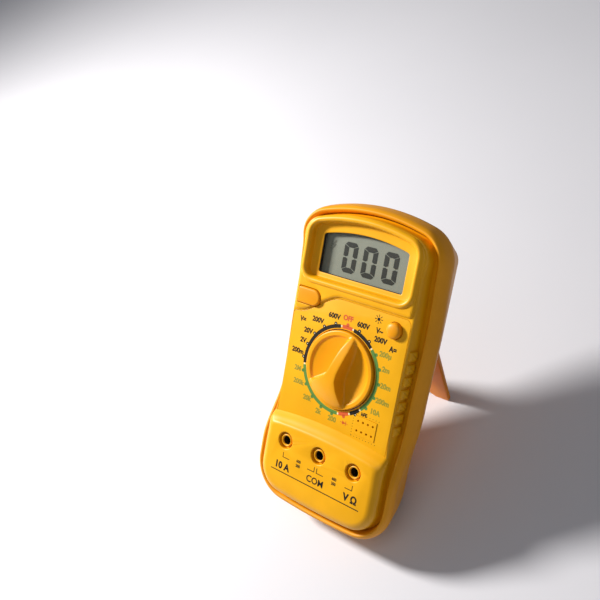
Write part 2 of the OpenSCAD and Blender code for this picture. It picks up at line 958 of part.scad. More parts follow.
module selector_knob() {
    color(yellow)
        propped()
            turned() {
                rotate_extrude($fn = 72)
                    polygon([[0, -2], [knob_r - 0.6, -2], [knob_r, -1.4], [knob_r, 0.6],
                        [knob_r - 1, 1.4], [knob_r - 2, 1.4], [8, -0.4], [0, -0.4]]);
                intersection() {
                    union() {
                        grip();
                        slab([[-2, 14], [2, 14], [8, -14], [-8, -14]], -0.5, 0.5);
                    }
                    post(0, 0, -1, grip_h + 1, knob_r - 0.2);
                }
                post(0, 0, skirt_low, -1.9, hub_r);
            }
}

module switch_rotor() {
    color("#E6E6E0")
        propped()
            turned()
                difference() {
                    union() {
                        post(0, 0, rotor_low, rotor_top, rotor_r);
                        post(0, 0, skirt_low, rotor_low + tiny, skirt_r);
                    }
                    post(0, 0, skirt_low - 1, rotor_low, skirt_r - skirt_t);
                    post(0, 0, skirt_low - 1, 0, hub_r + 0.05);
                    for (a = [0, 180])
                        rotate([0, 0, a])
                            at(0, channel_start, ball_z)
                                rotate([-90, 0, 0])
                                    cylinder(h = rotor_r, r = ball_r + ball_fit);
                }
}

module wiper_contacts() {
    color("#D4AF37")
        propped()
            turned()
                for (a = [30, 150, 270])
                    rotate([0, 0, a]) {
                        block(wiper_r, 0, rotor_low - 0.3, rotor_low, 4, 6);
                        for (s = [-1, 1])
                            block(wiper_r, s * 2.4, board_top + 0.05, rotor_low, 2.6, 0.8);
                    }
}

module detent_balls() {
    color("#C8CCD0")
        propped()
            turned()
                for (s = [-1, 1])
                    at(0, s * (rotor_r - 0.1), ball_z)
                        sphere(r = ball_r, $fn = 32);
}

// Coil springs that push the detent balls outwards
module detent_springs() {
    turns = 4;
    steps = 12;
    coil_r = 0.8;
    wire_r = 0.22;
    low = channel_start + wire_r;
    high = rotor_r - 0.1 - ball_r - wire_r;
    color("#A8ACB0")
        propped()
            turned()
                for (s = [-1, 1])
                    tube([for (i = [0:turns * steps])
                        let (k = i / (turns * steps), a = 360 * turns * k)
                        [coil_r * cos(a), s * mix(low, high, k), ball_z + coil_r * sin(a)]],
                        wire_r, [0, 1, 0]);
}

// ---- Buttons ----

module hold_button() {
    color(yellow)
        propped() {
            slab(hold_outline(0), flange_top, hold_top);
            difference() {
                slab(hold_outline(flange_w), flange_top - flange_t, flange_top);
                block(hold_x - hold_half_l - 2, hold_y, -5, 0, 4, 20);
            }
            post(hold_x, hold_y, stem_low, flange_top, stem_r);
        }
}

module backlight_button() {
    color(yellow)
        propped() {
            at(light_x, light_y, 0)
                rotate_extrude()
                    polygon([
                        [0, flange_top - flange_t],
                        [light_button_r + flange_w, flange_top - flange_t],
                        [light_button_r + flange_w, flange_top],
                        [light_button_r, flange_top],
                        [light_button_r, 1.2], [3, 2], [2, 2.4], [0, 2.6]
                    ]);
            post(light_x, light_y, stem_low, flange_top, stem_r);
        }
}

module push_switch(x, y) {
    propped()
        difference() {
            block(x, y, board_top, switch_top, switch_side, switch_side);
            post(x, y, switch_floor, switch_top + 1, stem_r + stem_fit);
        }
}

module hold_switch() {
    color("#33373C")
        push_switch(hold_x, hold_y);
}

module backlight_switch() {
    color("#33373C")
        push_switch(light_x, light_y);
}

// ---- Screws ----

// Self-tapping screw with its head at the back and a cross recess in it
module screw(x, y, head_z, length, r) {
    difference() {
        union() {
            post(x, y, head_z, head_z + screw_head_h, head_ratio * r);
            post(x, y, head_z, head_z + length, r);
        }
        block(x, y, head_z - 1, head_z + 0.8, 2.2 * r, 0.5 * r);
        block(x, y, head_z - 1, head_z + 0.8, 0.5 * r, 2.2 * r);
    }
}

module case_screws() {
    color("#9AA0A6")
        propped()
            for (p = case_screw_at)
                screw(p[0], p[1], head_seat, case_screw_l, case_screw_r);
}

module board_screws() {
    color("#9AA0A6")
        propped()
            for (p = board_screw_at)
                screw(p[0], p[1], board_back - screw_head_h, board_screw_l, board_screw_r);
}

boot();
stand();
front_case();
rear_case();
dial_label();
display_window();
lcd_frame();
lcd_glass();
zebra_strip();
backlight_panel();
backlight_leds();
main_board();
selector_knob();
switch_rotor();
wiper_contacts();
detent_balls();
detent_springs();
hold_button();
hold_switch();
backlight_button();
backlight_switch();
jack_10a();
jack_common();
jack_volts();
transistor_socket();
fuse();
fuse_clips();
shunt_wire();
battery();
battery_snap();
battery_leads();
battery_pad();
converter_chip();
buzzer();
trimmer();
capacitors();
resistors();
case_screws();
board_screws();
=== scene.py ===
import json
import math

import bmesh
import bpy
from mathutils import Matrix, Vector


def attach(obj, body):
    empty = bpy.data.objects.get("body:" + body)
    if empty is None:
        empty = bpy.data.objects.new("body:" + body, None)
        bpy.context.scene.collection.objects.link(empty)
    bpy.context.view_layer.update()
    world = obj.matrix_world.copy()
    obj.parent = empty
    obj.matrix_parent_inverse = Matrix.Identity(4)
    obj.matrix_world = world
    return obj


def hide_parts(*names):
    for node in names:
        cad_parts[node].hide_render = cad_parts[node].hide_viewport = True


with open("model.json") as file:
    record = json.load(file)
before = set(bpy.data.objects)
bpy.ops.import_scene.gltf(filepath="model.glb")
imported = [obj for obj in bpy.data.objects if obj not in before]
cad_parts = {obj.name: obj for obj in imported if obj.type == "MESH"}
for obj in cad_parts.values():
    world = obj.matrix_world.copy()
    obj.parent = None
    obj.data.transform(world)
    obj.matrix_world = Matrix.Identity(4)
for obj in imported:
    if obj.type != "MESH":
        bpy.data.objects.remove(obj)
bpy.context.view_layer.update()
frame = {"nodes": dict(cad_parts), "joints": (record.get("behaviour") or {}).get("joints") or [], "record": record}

# ---------------------------------------------------------------- the face's own frame
# Everything is drawn in millimetres on the face: x across, y towards the display, z out of the
# face, zero at the centre of the dial. The selector's joint says where that is.
turn = next(j for j in frame["joints"] if j["name"] == "selector_turn")
OUT = Vector(turn["axis"]).normalized()
RIGHT = Vector((1, 0, 0))
UP = OUT.cross(RIGHT)
FACE = (
    Matrix.Translation(Vector(turn["pos_m"]))
    @ Matrix((RIGHT, UP, OUT)).transposed().to_4x4()
    @ Matrix.Scale(0.001, 4)
)

# ---------------------------------------------------------------- sizes, from the CAD part
# Outline of the boot: half widths, ends, level of the back, and radii of the ends and corners
HALF_TOP, HALF_WAIST, HALF_FOOT = 38.0, 37.3, 38.5
TOP, BOTTOM, BACK = 72.8, 73.6, -34.8
WAIST_Y, WAIST_TO_TOP, WAIST_TO_FOOT = -12.0, 35.0, 38.0
TOP_R, TOP_CORNER = 95.0, 16.0
BOTTOM_R, BOTTOM_CORNER = 300.0, 19.0
# Where the edges rise towards the jack end, and rise and spread towards the display end
RISE_START, RISE_END = -15.0, -45.0
TOP_RISE_START, TOP_RISE_END, TOP_SHARE = 25.0, 55.0, 0.28
SPREAD_START, SPREAD_END, LIFT = 48.0, 62.0, 1.6
# Display: its rim, the levels of the bezel and of the deck round it, and the window
RIM_HALF, RIM_LOW, RIM_CORNER, RIM_TOP_CORNER, RIM_TOP_R = 29.4, 34.2, 7.0, 8.0, 89.0
BEZEL, DECK = -1.9, 0.9
WINDOW_HALF, WINDOW_LOW, WINDOW_ARCH, WINDOW_CORNER = 21.9, 39.4, 59.6, 0.9
# Jack platform and jacks
PLATFORM_IN, PLATFORM_SIDE, PLATFORM = 6.3, -36.0, 4.6
JACK_PITCH, JACK_ROW, JACK_HOLE, JACK_RECESS = 19.05, 39.9, 3.1, 4.0
JACKS = {"jack_10a": -JACK_PITCH, "jack_common": 0.0, "jack_volts": JACK_PITCH}
# Selector, buttons, transistor socket and stand
KNOB_R, POINTER = 17.6, math.radians(18)
HOLD_X, HOLD_Y, HOLD_L, HOLD_W = -22.4, 27.7, 6.2, 3.7
LIGHT_X, LIGHT_Y, LIGHT_R = 23.1, 24.6, 3.5
SOCKET_X, SOCKET_Y, SOCKET_HALF_W, SOCKET_HALF_L = 18.0, -20.8, 5.6, 4.4
HINGE_Y, HINGE_Z, STAND_L, STAND_OPEN = 18.4, -33.0, 57.0, math.radians(48.5)
STAND_TOP_HALF, STAND_FOOT_HALF = 25.4, 20.0
FOOT_Y = HINGE_Y - STAND_L
# Room round a button
GAP = 0.3


def ease(t):
    c = max(0.0, min(1.0, t))
    return c * c * (3 - 2 * c)


def mix(a, b, k):
    return a + (b - a) * k


# ---------------------------------------------------------------- materials
def linear(r, g, b):
    def one(c):
        c /= 255
        return c / 12.92 if c <= 0.04045 else ((c + 0.055) / 1.055) ** 2.4

    return (one(r), one(g), one(b), 1.0)


def shade(colour, k):
    return tuple(min(1.0, c * k) for c in colour[:3]) + (1.0,)


def material(name, colour, rough=0.45, contrast=0.06, blotch=60.0, grain=2600.0, bump=0.12,
             metallic=0.0, specular=0.5, coat=0.0, alpha=1.0, depth=0.00004):
    """Plastic, rubber or metal with slight blotches of colour, uneven gloss and a fine grain."""
    m = bpy.data.materials.new(name)
    m.use_nodes = True
    nodes, links = m.node_tree.nodes, m.node_tree.links
    bsdf = nodes["Principled BSDF"]
    where = nodes.new("ShaderNodeTexCoord")
    broad = nodes.new("ShaderNodeTexNoise")
    broad.inputs["Scale"].default_value = blotch
    broad.inputs["Detail"].default_value = 3
    links.new(where.outputs["Object"], broad.inputs["Vector"])
    ramp = nodes.new("ShaderNodeValToRGB")
    ramp.color_ramp.elements[0].position = 0.3
    ramp.color_ramp.elements[0].color = shade(colour, 1 - contrast)
    ramp.color_ramp.elements[1].position = 0.7
    ramp.color_ramp.elements[1].color = shade(colour, 1 + contrast)
    links.new(broad.outputs["Fac"], ramp.inputs["Fac"])
    links.new(ramp.outputs["Color"], bsdf.inputs["Base Color"])
    gloss = nodes.new("ShaderNodeMapRange")
    gloss.inputs["To Min"].default_value = max(0.02, rough - 0.06)
    gloss.inputs["To Max"].default_value = min(1.0, rough + 0.06)
    links.new(broad.outputs["Fac"], gloss.inputs["Value"])
    links.new(gloss.outputs["Result"], bsdf.inputs["Roughness"])
    if bump:
        fine = nodes.new("ShaderNodeTexNoise")
        fine.inputs["Scale"].default_value = grain
        fine.inputs["Detail"].default_value = 2
        links.new(where.outputs["Object"], fine.inputs["Vector"])
        relief = nodes.new("ShaderNodeBump")
        relief.inputs["Strength"].default_value = bump
        relief.inputs["Distance"].default_value = depth
        links.new(fine.outputs["Fac"], relief.inputs["Height"])
        links.new(relief.outputs["Normal"], bsdf.inputs["Normal"])
    bsdf.inputs["Metallic"].default_value = metallic
    bsdf.inputs["Specular IOR Level"].default_value = specular
    bsdf.inputs["Coat Weight"].default_value = coat
    bsdf.inputs["Alpha"].default_value = alpha
    return m


YELLOW = linear(232, 166, 0)
MATERIALS = {
    "case_plastic": material("case_plastic", YELLOW, rough=0.42, grain=1800, bump=0.2,
                             specular=0.35),
    "label_print": material("label_print", linear(232, 168, 0), rough=0.36, grain=3200, bump=0.1),
    "knob_plastic": material("knob_plastic", linear(232, 158, 0), rough=0.4, bump=0.12,
                             specular=0.35),
    "button_plastic": material("button_plastic", linear(230, 150, 0), rough=0.42, bump=0.12,
                               specular=0.3),
    "boot_rubber": material("boot_rubber", linear(228, 152, 0), rough=0.5, grain=1500, bump=0.28,
                            contrast=0.07, specular=0.35),
    "stand_plastic": material("stand_plastic", linear(228, 136, 0), rough=0.48, grain=1500,
                              bump=0.22, specular=0.25),
    "lcd": material("lcd", linear(150, 154, 140), rough=0.3, contrast=0.03, blotch=30, bump=0.02),
    "clear_window": material("clear_window", (0.05, 0.055, 0.05, 1), rough=0.08, contrast=0.02,
                             bump=0.0, alpha=0.07, specular=0.4),
    "black_plastic": material("black_plastic", linear(38, 38, 40), rough=0.5),
    "rear_plastic": material("rear_plastic", linear(52, 52, 54), rough=0.55, bump=0.25),
    "zebra": material("zebra", linear(196, 120, 130), rough=0.7),
    "light_guide": material("light_guide", linear(236, 240, 242), rough=0.4, contrast=0.02),
    "white_ceramic": material("white_ceramic", linear(242, 238, 214), rough=0.35),
    "circuit_board": material("circuit_board", linear(26, 92, 50), rough=0.32, contrast=0.2,
                              blotch=500),
    "white_plastic": material("white_plastic", linear(226, 226, 220), rough=0.45),
    "gold_contact": material("gold_contact", linear(222, 180, 92), rough=0.25, metallic=1.0),
    "steel": material("steel", linear(170, 173, 176), rough=0.32, metallic=1.0, grain=1200),
    "brass": material("brass", linear(186, 168, 128), rough=0.3, metallic=1.0, grain=1200),
    "fuse_glass": material("fuse_glass", linear(214, 220, 224), rough=0.15, specular=0.6),
    "tin_plate": material("tin_plate", linear(196, 198, 200), rough=0.35, metallic=1.0),
    "copper": material("copper", linear(200, 130, 90), rough=0.3, metallic=1.0),
    "battery_shell": material("battery_shell", linear(58, 64, 76), rough=0.35, metallic=0.4),
    "lead_insulation": material("lead_insulation", linear(178, 30, 24), rough=0.5),
    "foam": material("foam", linear(80, 80, 80), rough=0.9, bump=0.6, grain=900),
    "blue_plastic": material("blue_plastic", linear(46, 104, 176), rough=0.35),
    "capacitor_film": material("capacitor_film", linear(190, 150, 30), rough=0.35),
    "resistor_coat": material("resistor_coat", linear(150, 190, 208), rough=0.45),
}
INK = {
    "black": material("ink_black", linear(34, 28, 20), rough=0.6, bump=0.05, specular=0.2),
    "green": material("ink_green", linear(82, 128, 52), rough=0.5, bump=0.05),
    "red": material("ink_red", linear(206, 84, 30), rough=0.5, bump=0.05),
    "faint": material("ink_faint", linear(146, 136, 30), rough=0.5, bump=0.05),
    "light": material("ink_light", linear(226, 220, 190), rough=0.5, bump=0.05),
    "lcd": material("ink_lcd", linear(46, 48, 42), rough=0.4, bump=0.03),
    "lcd_faint": material("ink_lcd_faint", linear(112, 114, 102), rough=0.4, bump=0.03),
}

for sub in frame["record"]["subparts"]:
    node = frame["nodes"][sub["node"]]
    node.data.materials.clear()
    node.data.materials.append(MATERIALS[sub["material_slot"]])


# ---------------------------------------------------------------- mesh helpers
def loft(rings, loop=False, first=True, last=True):
    """Vertices and faces of a skin through rings that all have the same number of points."""
    n = len(rings[0])
    verts = [tuple(p) for r in rings for p in r]
    faces = []
    for j in range(len(rings) if loop else len(rings) - 1):
        a, b = j * n, ((j + 1) % len(rings)) * n
        for i in range(n):
            k = (i + 1) % n
            faces.append((a + i, a + k, b + k, b + i))
    if not loop and first:
        faces.append(tuple(reversed(range(n))))
    if not loop and last:
        faces.append(tuple(range((len(rings) - 1) * n, len(rings) * n)))
    return verts, faces


def join(*parts):
    verts, faces = [], []
    for v, f in parts:
        start = len(verts)
        verts += v
        faces += [tuple(i + start for i in face) for face in f]
    return verts, faces


def thing(name, part, at=FACE):
    """A mesh object drawn in the face's frame and kept in the row frame."""
    mesh = bpy.data.meshes.new(name)
    mesh.from_pydata([tuple(at @ Vector(v)) for v in part[0]], [], part[1])
    bm = bmesh.new()
    bm.from_mesh(mesh)
    bmesh.ops.recalc_face_normals(bm, faces=bm.faces)
    bm.to_mesh(mesh)
    bm.free()
    obj = bpy.data.objects.new(name, mesh)
    bpy.context.scene.collection.objects.link(obj)
    return obj


def baked(obj):
    """Turns the object's modifiers, or its text, into plain mesh."""
    bpy.context.view_layer.update()
    graph = bpy.context.evaluated_depsgraph_get()
    mesh = bpy.data.meshes.new_from_object(obj.evaluated_get(graph))
    obj.modifiers.clear()
    obj.data = mesh
    return obj


def cut(obj, *parts):
    """Takes solids, drawn in the face's frame, away from obj."""
    for part in parts:
        tool = thing("tool", part)
        mod = obj.modifiers.new("cut", "BOOLEAN")
        mod.operation = "DIFFERENCE"
        mod.solver = "EXACT"
        mod.object = tool
        baked(obj)
        bpy.data.objects.remove(tool)
    return obj


def finish_piece(obj, body, slot, *nodes, smooth=32, ink=None):
    obj.data.materials.clear()
    obj.data.materials.append(ink or MATERIALS[slot])
    for face in obj.data.polygons:
        face.use_smooth = True
        face.material_index = 0
    obj.data.set_sharp_from_angle(angle=math.radians(smooth))
    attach(obj, body)
    if nodes:
        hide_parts(*nodes)
    return obj


def flat(points, z):
    return [(p[0], p[1], z) for p in points]


def grow(points, d):
    """Moves a closed, anticlockwise outline outwards by d."""
    out = []
    n = len(points)
    for i in range(n):
        a, b, c = Vector(points[i - 1]), Vector(points[i]), Vector(points[(i + 1) % n])
        e, f = (b - a).normalized(), (c - b).normalized()
        n1, n2 = Vector((e.y, -e.x)), Vector((f.y, -f.x))
        m = (n1 + n2) / max(0.35, 1 + n1.dot(n2))
        out.append(tuple(b + d * m))
    return out


def arc(cx, cy, r, start, end, steps):
    out = []
    for i in range(steps + 1):
        a = math.radians(mix(start, end, i / steps))
        out.append((cx + r * math.cos(a), cy + r * math.sin(a)))
    return out


def circle(cx, cy, r, steps=64):
    return arc(cx, cy, r, 0, 360, steps)[:-1]


def rounded(x0, y0, x1, y1, r, steps=8):
    return (arc(x1 - r, y0 + r, r, -90, 0, steps) + arc(x1 - r, y1 - r, r, 0, 90, steps)
            + arc(x0 + r, y1 - r, r, 90, 180, steps) + arc(x0 + r, y0 + r, r, 180, 270, steps))


def rows(points, levels):
    """Loft through grown copies of one outline: levels are (growth, height)."""
    return loft([flat(grow(points, d), z) for d, z in levels])


def slab(points, low, high, edge=0.0):
    """Solid of an outline, with its top edge rounded."""
    levels = [(0, low)]
    if edge:
        for a in (0, 22.5, 45, 67.5, 90):
            t = math.radians(a)
            levels.append((-edge * (1 - math.cos(t)), high - edge + edge * math.sin(t)))
    else:
        levels.append((0, high))
    return rows(points, levels)


def opening(points, low, high, edge=0.2):
    """Cutter for an opening with a rounded edge at level high."""
    levels = [(0, low)]
    for a in (0, 30, 60, 90):
        t = math.radians(a)
        levels.append((edge * (1 - math.cos(t)), high - edge + edge * math.sin(t)))
    levels.append((edge + 0.6, high + 0.6))
    return rows(points, levels)


def lathe(profile, cx=0.0, cy=0.0, steps=96, loop=False):
    """Solid of a profile of (radius, level) turned about the face's normal."""
    rings = [[(cx + x, cy + y, z) for x, y in circle(0, 0, r, steps)] for r, z in profile]
    return loft(rings, loop=loop)


# ---------------------------------------------------------------- outline of the boot and case
def side_half(y):
    return (HALF_WAIST + (HALF_TOP - HALF_WAIST) * ease((y - WAIST_Y) / WAIST_TO_TOP)
            + (HALF_FOOT - HALF_WAIST) * ease((WAIST_Y - y) / WAIST_TO_FOOT))


TOP_CENTRE = TOP - TOP_R
TOP_CX = HALF_TOP - TOP_CORNER
TOP_CY = TOP_CENTRE + math.sqrt((TOP_R - TOP_CORNER) ** 2 - TOP_CX ** 2)
TOP_ANGLE = math.degrees(math.atan2(TOP_CY - TOP_CENTRE, TOP_CX))
BOTTOM_CENTRE = BOTTOM_R - BOTTOM
BOTTOM_CX = HALF_FOOT - BOTTOM_CORNER
BOTTOM_CY = BOTTOM_CENTRE - math.sqrt((BOTTOM_R - BOTTOM_CORNER) ** 2 - BOTTOM_CX ** 2)
BOTTOM_ANGLE = math.degrees(math.atan2(BOTTOM_CENTRE - BOTTOM_CY, BOTTOM_CX))


def outline(d):
    """Closed, anticlockwise outline, d inside the boot's widest one, from the bottom centre."""
    right = arc(0, BOTTOM_CENTRE, BOTTOM_R - d, -90, -BOTTOM_ANGLE, 8)
    right += arc(BOTTOM_CX, BOTTOM_CY, BOTTOM_CORNER - d, -BOTTOM_ANGLE, 0, 18)[1:]
    for i in range(1, 48):
        y = mix(BOTTOM_CY, TOP_CY, i / 48)
        right.append((side_half(y) - d, y))
    right += arc(TOP_CX, TOP_CY, TOP_CORNER - d, 0, TOP_ANGLE, 16)
    right += arc(0, TOP_CENTRE, TOP_R - d, TOP_ANGLE, 90, 12)[1:]
    return right + [(-x, y) for x, y in reversed(right[1:-1])]


def ring(side_d, foot_d, side_z, foot_z, shift, lift=0.0):
    """Row of a shell: insets and levels at the sides and at the jack end, and how far the row is
    drawn in and lifted round the display end."""
    points = []
    for (ax, ay), (bx, by), (cx, cy) in zip(outline(side_d), outline(foot_d),
                                            outline(side_d + shift)):
        k = ease((RISE_START - ay) / (RISE_START - RISE_END))
        m = k + TOP_SHARE * ease((ay - TOP_RISE_START) / (TOP_RISE_END - TOP_RISE_START))
        e = ease((ay - SPREAD_START) / (SPREAD_END - SPREAD_START))
        points.append((mix(mix(ax, bx, k), cx, e), mix(mix(ay, by, k), cy, e),
                       mix(side_z, foot_z, m) + lift * e))
    return points


def case_edge(d):
    """Edge of the case's top, drawn in by d."""
    return [(x, y) for x, y, z in ring(7.6 + d, 6.6 + d, 0, 0, -1.8)]


def flowing(given, count=4):
    """Catmull-Rom rows between the given ones."""
    out = []
    n = len(given)
    for i in range(n - 1):
        a, b = given[max(0, i - 1)], given[i]
        c, d = given[i + 1], given[min(n - 1, i + 2)]
        for j in range(count):
            t = j / count
            out.append(tuple(
                0.5 * (2 * q + (r - p) * t + (2 * p - 5 * q + 4 * r - s) * t * t
                       + (3 * q - p - 3 * r + s) * t ** 3)
                for p, q, r, s in zip(a, b, c, d)))
    out.append(tuple(given[-1]))
    return out


# ---------------------------------------------------------------- boot
# Rows of ring() from the edge of the back, round the outside, over the lip and into the mouth
BOOT_ROWS = [
    (10.9, 14.8, BACK, BACK, 0, 0), (9.25, 12.75, BACK + 1.2, BACK + 1.3, 0, 0),
    (6.7, 8.95, -28, -26, 0, 0), (3.3, 5.35, -20.5, -16.5, 0, 0), (1.3, 3.5, -16, -10.5, 0, 0),
    (0.1, 2.15, -13, -6.5, 0, 0), (0.4, 1.35, -10.5, -3.4, 0.1, 0.4),
    (1.75, 1.75, -8, -1.1, -0.6, 1.2), (2.75, 2.65, -6.7, -0.05, -0.7, 1.6),
    (3.5, 3.5, -6.3, 0.35, -0.7, LIFT), (4.2, 4.3, -6.9, -0.5, -0.5, LIFT),
    (4.75, 4.95, -8.6, -3, -0.55, LIFT),
]
WIDEST = 0.1
outer = [(max(WIDEST, r[0]), max(WIDEST, r[1])) + r[2:] for r in flowing(BOOT_ROWS)]
outer[:2] = [BOOT_ROWS[0], (10.4, 14.2, BACK + 0.06, BACK + 0.06, 0, 0)]
inner = [(5.6, 7, -16, -16, 0), (8.2, 10.4, -25, -25, 0), (10.4, 12.8, -30.3, -30.3, 0)]
boot = thing("boot_shell", loft([ring(*r) for r in outer + inner]))


def stand_outline(d):
    """Corners of the stand, grown by d."""
    foot, top = STAND_FOOT_HALF + d, STAND_TOP_HALF + d
    return [(-foot, FOOT_Y - d), (foot, FOOT_Y - d), (top, HINGE_Y), (-top, HINGE_Y)]


def box(x0, y0, z0, x1, y1, z1):
    return slab([(x0, y0), (x1, y0), (x1, y1), (x0, y1)], z0, z1)


def across(cy, cz, r, half, steps=32):
    """Rod across the meter."""
    return loft([[(x, cy + a, cz + b) for a, b in circle(0, 0, r, steps)] for x in (-half, half)])


# Recess for the stand, with room for its hinge, a finger notch and the holes for its pins
RECESS = -31.4
cut(boot,
    slab(stand_outline(1.8), BACK - 1, RECESS),
    box(-26, HINGE_Y - 2.1, BACK - 1, 26, HINGE_Y + 2.1, -31.2),
    box(-9, FOOT_Y - 8, BACK - 1, 9, FOOT_Y, RECESS),
    across(HINGE_Y, HINGE_Z, 1.38, 28.6))
finish_piece(boot, "meter", "boot_rubber", "boot")

# ---------------------------------------------------------------- front case
CASE_ROWS = [
    (9.0, 8.1, -1.9, -1.9, -1.4), (9.0, 8.1, -2.9, -2.9, -1.4), (7.1, 8.1, -8.8, -8.8, 0),
    (7.7, 9.1, -15.9, -15.9, 0), (5.9, 7.3, -15.9, -15.9, 0), (5.1, 5.3, -9, -3.4, -0.5, LIFT),
    (6.3, 5.7, -8.05, -2.65, -1.15, LIFT), (6.42, 5.8, -7.8, -2.5, -1.2, LIFT),
    (7.0, 6.12, -1.3, -1.0, -1.6), (7.12, 6.2, -0.6, -0.5, -1.65),
    (7.32, 6.36, -0.2, -0.2, -1.7), (7.75, 6.75, 0, 0, -1.8),
]
case = thing("case_face", loft([ring(*r) for r in CASE_ROWS]))


def hold_outline(d=0.0, corner=1.0):
    """Hold button, square at the left and round at the right, grown by d."""
    x0 = HOLD_X - HOLD_L - d
    y0, y1 = HOLD_Y - HOLD_W - d, HOLD_Y + HOLD_W + d
    right = arc(HOLD_X + HOLD_L - HOLD_W, HOLD_Y, HOLD_W + d, -90, 90, 24)
    return (right + arc(x0 + corner, y1 - corner, corner, 90, 180, 5)
            + arc(x0 + corner, y0 + corner, corner, 180, 270, 5))


def label_outline():
    """Printed label: arched at the bottom, stepped up round the hold button at the top."""
    bottom = [(x, -27 - 2.6 * (x / 30) ** 2) for x in (mix(-30, 30, i / 24) for i in range(25))]
    corner = arc(27.5, 28, 2.5, 0, 90, 8)
    wave = []
    for i in range(25):
        x = mix(-5, -28, i / 24)
        wave.append((x, 19.9 + 10.6 * ease((x + 28) / 23)))
    return bottom + corner + wave + [(-29.4, 19.6), (-30, 18.6)]


LABEL = label_outline()


def window_outline(d):
    """Display window with an arched top, grown by d."""
    x, low, r = WINDOW_HALF - WINDOW_CORNER, WINDOW_LOW + WINDOW_CORNER, WINDOW_CORNER
    high = 55.9
    top = [(u, WINDOW_ARCH - 2.9 * (u / WINDOW_HALF) ** 2)
           for u in (mix(x - 0.1, 0.1 - x, i / 20) for i in range(21))]
    base = (arc(x, low, r, -90, 0, 5) + arc(x, high, r, 10, 60, 4) + top
            + arc(-x, high, r, 120, 170, 4) + arc(-x, low, r, 180, 270, 5))
    return grow(base, d)


def polar(points, centre, count=256):
    """The outline's crossings with rays from a centre, so that unlike outlines can be lofted."""
    n = len(points)
    rel = [(p[0] - centre[0], p[1] - centre[1]) for p in points]
    out = []
    for k in range(count):
        a = 2 * math.pi * (k + 0.5) / count
        c, s = math.cos(a), math.sin(a)
        best = 0.0
        for i in range(n):
            (x0, y0), (x1, y1) = rel[i], rel[(i + 1) % n]
            dx, dy = x1 - x0, y1 - y0
            det = dx * s - dy * c
            if abs(det) < 1e-12:
                continue
            u = (y0 * c - x0 * s) / det
            if -1e-6 <= u <= 1 + 1e-6:
                best = max(best, (x0 + u * dx) * c + (y0 + u * dy) * s)
        out.append((centre[0] + best * c, centre[1] + best * s))
    return out


MID = (0.0, 48.6)


def rim_outline(d):
    """Outer edge of the display's rim, grown by d, with round corners and an arched top."""
    x = RIM_HALF - RIM_TOP_CORNER
    rise = math.sqrt((RIM_TOP_R - RIM_TOP_CORNER) ** 2 - x * x)
    a = math.degrees(math.atan2(rise, x))
    y = TOP_CENTRE + rise
    low_x, low_y = RIM_HALF - RIM_CORNER, RIM_LOW + RIM_CORNER
    return (arc(low_x, low_y, RIM_CORNER + d, -90, 0, 10)
            + arc(x, y, RIM_TOP_CORNER + d, 0, a, 12)
            + arc(0, TOP_CENTRE, RIM_TOP_R + d, a, 180 - a, 20)[1:-1]
            + arc(-x, y, RIM_TOP_CORNER + d, 180 - a, 180, 12)
            + arc(-low_x, low_y, RIM_CORNER + d, 180, 270, 10))


LIGHT_HOLE = circle(LIGHT_X, LIGHT_Y, LIGHT_R + GAP, 48)
SOCKET_HOLE = rounded(SOCKET_X - SOCKET_HALF_W, SOCKET_Y - SOCKET_HALF_L,
                      SOCKET_X + SOCKET_HALF_W, SOCKET_Y + SOCKET_HALF_L, 0.3, 2)
THROUGH = -4.0


def jack_holes(high):
    return [rows(circle(x, -JACK_ROW, JACK_HOLE), [(0, THROUGH), (0, high)])
            for x in JACKS.values()]


cut(case,
    opening(grow(LABEL, 0.18), -0.42, 0, 0.12),
    opening(circle(0, 0, KNOB_R + 0.4, 128), THROUGH, 0, 0.1),
    opening(hold_outline(GAP), THROUGH, 0, 0.2),
    opening(LIGHT_HOLE, THROUGH, 0, 0.1),
    opening(SOCKET_HOLE, THROUGH, 0, 0.1),
    rows(rim_outline(-2), [(0, THROUGH), (0, 1)]),
    *jack_holes(1))

# Rim: up the outside, over the bead, down its inside to the bezel, and down the window's wall
rim_rows = [(rim_outline(d), z) for d, z in (
    (0.3, -0.8), (0.3, DECK - 0.05), (0.12, DECK + 0.2), (-0.1, 1.4), (-0.45, 1.75), (-0.9, 1.93),
    (-1.3, 1.96), (-1.75, 1.84), (-2.15, 1.52), (-2.45, 1.05), (-2.65, 0.4), (-2.8, -0.5),
    (-2.9, -1.3), (-3.0, -1.6), (-3.2, -1.82), (-3.5, BEZEL))]
rim_rows += [(window_outline(d), z) for d, z in (
    (0.6, BEZEL), (0.25, BEZEL - 0.03), (0.07, BEZEL - 0.14), (0.0, BEZEL - 0.35), (0.0, -3.55),
    (1.0, -3.55))]
rim = loft([flat(polar(o, MID), z) for o, z in rim_rows], loop=True)


def platform_outline(d, top_y, drop):
    """Parallel to the case round its bottom end, with an arched top edge."""
    right = [p for p in outline(PLATFORM_IN + d) if p[1] < PLATFORM_SIDE and p[0] >= 0]
    half = right[-1][0]
    corner = 2.5
    end_y = top_y - drop
    top = [(x, top_y - drop * (x / 30) ** 2)
           for x in (mix(half - corner, corner - half, i / 24) for i in range(1, 24))]
    upper = arc(half - corner, end_y - corner, corner, 0, 80, 6) + top
    upper += arc(corner - half, end_y - corner, corner, 100, 180, 6)
    return right + upper + [(-x, y) for x, y in reversed(right[1:])]


